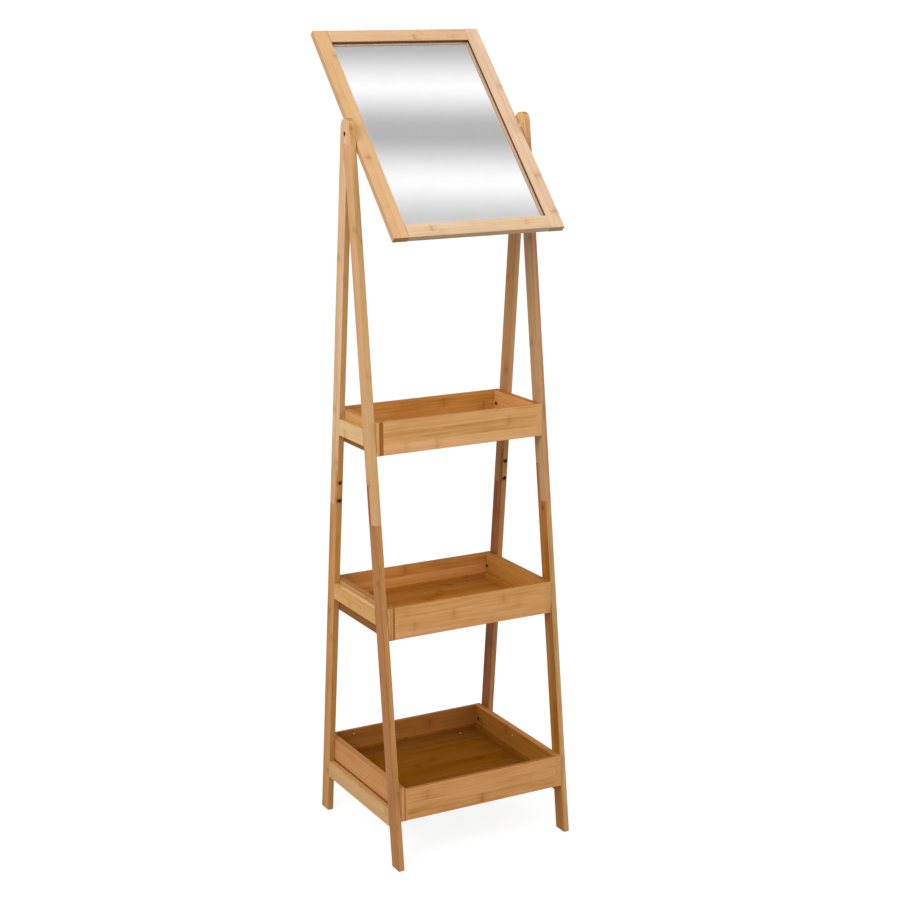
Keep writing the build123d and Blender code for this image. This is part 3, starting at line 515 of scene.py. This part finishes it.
# legs
for side, sg in (("left", -1), ("right", 1)):
    for which in ("front", "rear"):
        lo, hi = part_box(f"{side}_{which}_leg_lower")
        xm = (lo.x + hi.x) / 2
        if which == "front":
            A = Vector((0, FRONT_LEAN, 1)) / nf
            B = Vector((0, 1, -FRONT_LEAN)) / nf
            edge = Vector((xm, foot_front, 0))
        else:
            A = Vector((0, -REAR_LEAN, 1)) / nr
            B = Vector((0, -1, -REAR_LEAN)) / nr
            edge = Vector((xm, foot_rear, 0))
        mid = edge + B * (LEG_W / 2)
        for part in ("lower", "upper"):
            node = f"{side}_{which}_leg_{part}"
            faces = []
            # the board takes its narrow faces' colour, painted light included, and its wide faces are painted back to
            # their own colour
            narrow = tuple(x * y for x, y in zip(tone(node), LEG_FACE_PAINTED_LIGHT[node]))
            wide = tuple(1.0 / y for y in LEG_FACE_PAINTED_LIGHT[node])
            outer = wide
            if side == "right":
                # its outer face takes the left frame's colour, without the painted shade on its inner face
                outer = tuple(x / y for x, y in zip(tone(node.replace("right", "left")), narrow))
            painted_facing_light = [(tuple(sg * X), outer), (tuple(-sg * X), wide)]
            if part == "lower":
                # the tongue above the shoulder is a darker ply
                faces.append(("a", JOINT_S + 0.0002, JOINT_S + TONGUE_L + 0.01, TONGUE.get(node, (1.0, 1.0, 1.0))))
            elif which == "rear":
                faces.append(("a", JOINT_S - 0.01, 0.842, LOW_END[side]))
            # the inner face of the right rear leg's head is painted lighter: painted light
            mat = bamboo(node, narrow, A, B, X, mid, (0.8, LEG_W / 2, 0.00625), 0.0160,
                         pitch=0.31, seed=next_seed(), faces=faces, contrast=1.5 if part == "lower" else 1.1, painted_facing_light=painted_facing_light,
                         spec=0.12, coat=0.03, knots=KNOTS.get(node, ()), marks=LEG_MARKS.get(node, ()),
                         painted_face_bands=[(tuple(-X), "a", 1.375, 1.70, (1.35, 1.72, 2.40))] if node == "right_rear_leg_upper" else ())
            dress(node, mat)

# two-ply side walls: what shows on their cut ends beside the front wall
INNER_PLY = {
    "top": [("c", -0.0017, 0.0073, (0.50, 0.36, 0.22))],
    "middle": [("c", 0.0030, 0.0073, (0.52, 0.40, 0.24)), ("c", -0.0022, -0.0008, (0.62, 0.50, 0.34))],
    "bottom": [("c", 0.0006, 0.0030, (0.50, 0.38, 0.24)), ("c", -0.0073, -0.0060, (0.70, 0.58, 0.44))],
}
MARKS = {
    "top_front_wall": [(0.1097, 0.0076, 0.55), (-0.0550, -0.0222, 0.6)],
    "middle_front_wall": [(-0.0402, 0.0008, 0.6), (-0.1285, -0.0129, 0.5), (0.0749, 0.0149, 0.55)],
    "bottom_front_wall": [(-0.0016, -0.0200, 1.0), (-0.1288, 0.0147, 0.5)],
    "bottom_rear_wall": [(0.0556, 0.0133, 0.7)],
    # its first mark, by the right inner corner, is painted shadow drawn as a node mark
    "top_rear_wall": [(0.1467, 0.0028, 0.9), (0.0528, 0.0176, 0.6)],
    "middle_rear_wall": [(-0.0234, 0.0257, 0.8)],
    "mirror_top_rail": [(0.0332, -0.0053, 0.8)],
    "mirror_bottom_rail": [(-0.1014, 0.0031, 0.8), (0.1070, 0.0025, 0.6)],
    "mirror_right_stile": [(0.1016, 0.0104, 0.7), (-0.1286, 0.0056, 0.8), (-0.2173, 0.0084, 0.8)],
    "mirror_left_stile": [(-0.0643, -0.0043, 0.8), (0.1904, 0.0131, 0.7)],
}
# height of the side rail's underside above the middle of the side wall, below which the wall's outer face gets painted
# shadow
BELOW_RAIL = {"top": 0.848 - 0.8665, "middle": 0.4925 - 0.4995, "bottom": -0.04}
# painted shadow in the groove above the bottom rail, where the wall meets the rail's top
GROOVE_PAINTED_SHADOW = {"leftbottom": [(tuple(-X), "b", -0.0205, -0.0136, (0.45, 0.32, 0.18))],
          "rightbottom": [(tuple(X), "b", -0.0205, -0.0136, (0.45, 0.32, 0.18))]}
# colour of the walls' top edges against their faces: partly the darker edge grain, partly painted shade that holds
# back the light from above
EDGE_TOP_GRAIN_AND_PAINTED_SHADE = {
    "top_left": (0.70, 0.55, 0.28), "top_front": (0.69, 0.55, 0.34),
    "middle_left": (0.62, 0.475, 0.26), "middle_front": (0.63, 0.50, 0.24),
    "bottom_left": (0.80, 0.77, 0.66), "bottom_front": (0.53, 0.45, 0.28),
}
# side rails and trays
for tier in ("top", "middle", "bottom"):
    for side, sg in (("left", -1), ("right", 1)):
        node = f"{side}_{tier}_side_rail"
        lo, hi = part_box(node)
        m, h = (lo + hi) / 2, (hi - lo) / 2
        dress(node, bamboo(node, tone(node), Y, Z, X, m, (h.y, h.z, h.x), 0.017, seed=next_seed()))
        node = f"{tier}_tray_{side}_wall"
        lo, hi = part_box(node)
        m, h = (lo + hi) / 2, (hi - lo) / 2
        # the wall's outer face gets painted shadow below the side rail, and a painted shadow line above the bottom
        # rail
        dress(node, bamboo(node, tone(f"{tier}_{side}_wall"), Y, Z, X, m, (h.y, h.z, h.x), 0.0223, seed=next_seed(),
                           end_dark=1.60, end_sat=1.0, end_base=tone(f"{tier}_front_wall"), spec=0.01, coat=0.0,
                           painted_face_bands=[(tuple(sg * X), "b", -0.05, BELOW_RAIL[tier], (0.50, 0.37, 0.22))] + GROOVE_PAINTED_SHADOW.get(side + tier, []),
                           ends=INNER_PLY[tier] if sg < 0 else (),
                           painted_facing_light=[(tuple(-sg * X), INSIDE_PAINTED_LIGHT_AND_SHADE[f"{tier}_{side}_wall"]), (tuple(Z), EDGE_TOP_GRAIN_AND_PAINTED_SHADE[f"{tier}_left"])]))
    for wall, sg in (("front", -1), ("rear", 1)):
        node = f"{tier}_tray_{wall}_wall"
        lo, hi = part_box(node)
        m, h = (lo + hi) / 2, (hi - lo) / 2
        key = f"{tier}_{wall}_wall"
        # the wall's inside face gets painted shade and light, and its top edge partly painted shade
        dress(node, bamboo(node, tone(key), X, Z, Y, m, (h.x, h.z, h.y), 0.0223, seed=next_seed(),
                           marks=MARKS.get(key, ()), mark_amount=0.35, spec=0.02, coat=0.0, contrast=1.25,
                           painted_facing_light=[(tuple(-sg * Y), INSIDE_PAINTED_LIGHT_AND_SHADE[key]), (tuple(Z), EDGE_TOP_GRAIN_AND_PAINTED_SHADE[f"{tier}_front"])]))
    node = f"{tier}_tray_floor"
    lo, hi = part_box(node)
    m, h = (lo + hi) / 2, (hi - lo) / 2
    dress(node, bamboo(node, tone(f"{tier}_floor"), X, Y, Z, m, (h.x, h.y, h.z), 0.021, seed=next_seed(), contrast=1.0,
                       spec=0.0, coat=0.0))
    node = f"{tier}_tray_floor_strips"
    lo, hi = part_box(node)
    m, h = (lo + hi) / 2, (hi - lo) / 2
    dress(node, bamboo(node, scaled(tone(f"{tier}_floor"), 1.22), X, Y, Z, m, (h.x, h.y, h.z), 0.0223,
                       seed=next_seed(), dual=h.x - 0.0061, contrast=0.8, spec=0.0, coat=0.0))

# mirror frame
for side, sg in (("left", -1), ("right", 1)):
    node = f"mirror_{side}_stile"
    lo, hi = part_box(node)
    o = Vector(((lo.x + hi.x) / 2, pivot.y, pivot.z))
    # on the right stile, painted shade on its inner lip: deep by the front face, lighter towards the glass
    dress(node, bamboo(node, tone(node), MV, X, MN, o, (0.256, (hi.x - lo.x) / 2, 0.0065), 0.0160, seed=next_seed(),
                       contrast=0.75, marks=MARKS[node], mark_amount=0.3,
                       painted_face_bands=[(tuple(-X), "c", 0.0016, 0.0072, (0.11, 0.05, 0.02)), (tuple(-X), "c", -0.0080, 0.0016, (0.72, 0.62, 0.52))] if sg > 0 else ()))
for which, sg in (("top", 1), ("bottom", -1)):
    node = f"mirror_{which}_rail"
    lo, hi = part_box(node)
    o = Vector((0, pivot.y, pivot.z)) + MV * (sg * (0.256 - 0.015))
    # on the top rail, painted shade on the underside of its lip, lighter at the very front
    dress(node, bamboo(node, tone(node), X, MV, MN, o, ((hi.x - lo.x) / 2, 0.015, 0.0065), 0.0150, seed=next_seed(),
                       contrast=0.75, marks=MARKS[node], mark_amount=0.3,
                       painted_face_bands=[(tuple(-MV), "c", -0.0010, 0.0050, (0.20, 0.10, 0.05)), (tuple(-MV), "c", 0.0050, 0.0075, (0.60, 0.48, 0.36))] if sg > 0 else ()))

lo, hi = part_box("mirror_glass")
dress("mirror_glass", silvered_glass("mirror_silver", (hi.x - lo.x) / 2, 0.2330, (0, pivot.y, pivot.z), MV, MN))
dress("mirror_backing_board", hardboard("backing_hardboard", lin((150, 112, 76))))

beech = pin_wood("beech_pin", lin((214, 176, 132)), (1, 0, 0))
for n in ("bottom_tray_dowels", "middle_tray_dowels", "top_tray_dowels", "mirror_frame_dowels"):
    dress(n, beech)
dress("head_dowels", pin_wood("beech_pin_upright", lin((214, 176, 132)), (0, 0, 1)))
dress("side_rail_dowels", pin_wood("beech_pin_deep", lin((214, 176, 132)), (0, 1, 0)))

black = metal("blackened_steel", (0.060, 0.040, 0.030), 0.50, 1.0)
zinc = metal("zinc_plated_steel", (0.78, 0.78, 0.77), 0.28, 2.0)
brass = metal("brass", (0.72, 0.50, 0.22), 0.30, 3.0)
for n in ("bottom_tray_screws", "middle_tray_screws", "top_tray_screws", "leg_joint_screws",
          "left_pivot_bolt", "right_pivot_bolt"):
    dress(n, black)
for n in ("mirror_clip_screws", "mirror_backing_clips"):
    dress(n, zinc)
dress("bottom_tray_pan_screws", metal("yellow_zinc_plated_steel", (0.88, 0.66, 0.30), 0.34, 4.0))
for n in ("left_pivot_insert", "right_pivot_insert"):
    dress(n, brass)
nylon = plastic("nylon", (0.80, 0.78, 0.72), 0.42)
for n in ("left_pivot_washer", "right_pivot_washer"):
    dress(n, nylon)

# --------------------------------------------------------------- the stage


def plane(name, corners):
    me = bpy.data.meshes.new(name)
    me.from_pydata([tuple(c) for c in corners], [], [(0, 1, 2, 3)])
    ob = bpy.data.objects.new(name, me)
    bpy.context.scene.collection.objects.link(ob)
    return ob


floor = plane("studio_floor", [(-30, -30, -0.0005), (30, -30, -0.0005), (30, 30, -0.0005), (-30, 30, -0.0005)])
mat = bpy.data.materials.new("studio_floor")
t = Tree(mat)
tc = t.node("ShaderNodeTexCoord")
n1 = t.noise(tc.outputs["Object"], 3.0, 2.0, 0.5)
# white to the eye, but it throws back only part of the light, like a matt pale sweep
seen = t.node("ShaderNodeLightPath").outputs["Is Camera Ray"]
pale = t.mix(n1, (0.945, 0.945, 0.945), (0.955, 0.955, 0.955))
near = t.node("ShaderNodeBsdfDiffuse")
t.put(near.inputs["Color"], t.mix(seen, (0.60, 0.60, 0.60), pale))
t.put(near.inputs["Roughness"], t.step(n1, 0.3, 0.7, 0.6, 0.8))
glow = t.node("ShaderNodeEmission")
glow.inputs["Color"].default_value = (1, 1, 1, 1)
t.put(glow.inputs["Strength"], t.math("ADD", 0.60, t.math("MULTIPLY", seen, 0.45)))
away = t.step(t.vmath("LENGTH", tc.outputs["Object"]), 0.10, 1.2, 0.84, 1.0)
mixed = t.node("ShaderNodeMixShader")
t.put(mixed.inputs[0], away)
t.t.links.new(near.outputs[0], mixed.inputs[1])
t.t.links.new(glow.outputs[0], mixed.inputs[2])
t.t.links.new(mixed.outputs[0], t.out.inputs["Surface"])
floor.data.materials.append(mat)

# a ceiling reflector with two soft bright bands, seen only in reflections
H = 3.0
card = plane("studio_reflector", [(-0.9, -2.2, H), (3.0, -2.2, H), (3.0, 1.5, H), (-0.9, 1.5, H)])
mat = bpy.data.materials.new("studio_reflector")
t = Tree(mat)
tc = t.node("ShaderNodeTexCoord")
O = tc.outputs["Object"]
num = t.math("ADD", t.vmath("DOT_PRODUCT", O, (-1.63645539, -385.278233, 0)), 62.7391117)
den = t.math("ADD", t.vmath("DOT_PRODUCT", O, (0.0911916549, -0.0582509772, 0)), 1.0)
band = t.math("DIVIDE", t.math("SUBTRACT", t.math("DIVIDE", num, den), 40.6), 179.3)
# band runs from 0 to 1 over the part that the glass sees at rest; the pattern goes on to both sides
levels = [(-0.60, 176), (-0.35, 236), (-0.18, 226), (-0.05, 192), (.03, 180), (.07, 193), (.11, 210), (.15, 227),
          (.19, 241), (.23, 250), (.26, 254), (.30, 247), (.34, 234), (.38, 216), (.42, 199), (.46, 186), (.50, 182),
          (.54, 182), (.58, 190), (.62, 207), (.66, 222), (.70, 238), (.74, 248), (.77, 254), (.81, 252), (.85, 244),
          (.89, 232), (.93, 219), (.97, 208), (1.08, 196), (1.25, 214), (1.45, 238)]
lo_b, hi_b = levels[0][0], levels[-1][0]
f = t.math("DIVIDE", t.math("SUBTRACT", band, lo_b), hi_b - lo_b, clamp=True)
GLASS_K = 0.935
stops = [((p - lo_b) / (hi_b - lo_b), tuple(x / GLASS_K for x in lin((g, g, g)))) for p, g in levels]
em = t.node("ShaderNodeEmission")
t.put(em.inputs["Color"], t.ramp(f, stops))
em.inputs["Strength"].default_value = 1.0
t.t.links.new(em.outputs[0], t.out.inputs["Surface"])
card.data.materials.append(mat)
card.visible_camera = False
card.visible_diffuse = False
card.visible_shadow = False
card.visible_transmission = False

# --------------------------------------------------------------- the lights
world = bpy.data.worlds.new("studio")
bpy.context.scene.world = world
world.use_nodes = True
bg = world.node_tree.nodes["Background"]
wt = world.node_tree
seen = wt.nodes.new("ShaderNodeLightPath").outputs["Is Camera Ray"]
pick = wt.nodes.new("ShaderNodeMapRange")
wt.links.new(seen, pick.inputs["Value"])
pick.inputs["To Min"].default_value = 0.80
pick.inputs["To Max"].default_value = 1.06
wt.links.new(pick.outputs["Result"], bg.inputs["Strength"])
bg.inputs["Color"].default_value = (1.0, 1.0, 1.0, 1)


def area(name, loc, target, size, watts, colour=(1, 1, 1)):
    d = bpy.data.lights.new(name, "AREA")
    d.shape = "RECTANGLE"
    d.size, d.size_y = size
    d.energy = watts
    d.color = colour
    ob = bpy.data.objects.new(name, d)
    bpy.context.scene.collection.objects.link(ob)
    ob.location = loc
    ob.rotation_euler = (Vector(target) - Vector(loc)).to_track_quat("-Z", "Y").to_euler()
    return ob


area("key_left", (-3.2, -1.6, 2.9), (0, 0, 0.9), (2.4, 2.4), 100, (1.0, 0.985, 0.96))
area("top", (0.0, -1.2, 4.2), (0, 0, 0.9), (3.4, 3.4), 36, (1.0, 0.99, 0.975))
area("fill_right", (3.4, -1.0, 2.2), (0, 0, 0.8), (2.2, 2.2), 36, (1.0, 0.99, 0.98))
area("rim_back", (0.6, 3.4, 2.8), (0, 0, 0.9), (2.6, 1.6), 34, (1.0, 0.99, 0.98))

# --------------------------------------------------------------- the camera
yaw, pitch, roll = math.radians(-27.770), math.radians(-13.305), math.radians(-0.444)
fwd = Vector((-math.sin(yaw) * math.cos(pitch), math.cos(yaw) * math.cos(pitch), math.sin(pitch)))
r0 = Vector((math.cos(yaw), math.sin(yaw), 0))
u0 = r0.cross(fwd)
right = r0 * math.cos(roll) + u0 * math.sin(roll)
up = -r0 * math.sin(roll) + u0 * math.cos(roll)
cam_data = bpy.data.cameras.new("camera")
cam = bpy.data.objects.new("camera", cam_data)
bpy.context.scene.collection.objects.link(cam)
m = Matrix.Identity(4)
for row in range(3):
    m[row][0], m[row][1], m[row][2] = right[row], up[row], -fwd[row]
m[0][3], m[1][3], m[2][3] = -1.738471, -3.267291, 1.679163
cam.matrix_world = m
cam_data.sensor_width = 36.0
cam_data.lens = 1865.504 / 900.0 * 36.0
cam_data.shift_x = (450.0 - 432.82) / 900.0
cam_data.shift_y = (451.385 - 450.0) / 900.0
cam_data.clip_start, cam_data.clip_end = 0.05, 200.0
bpy.context.scene.camera = cam

bpy.context.scene.view_settings.view_transform = "Standard"
bpy.context.scene.view_settings.look = "None"
bpy.context.scene.view_settings.exposure = 0.0
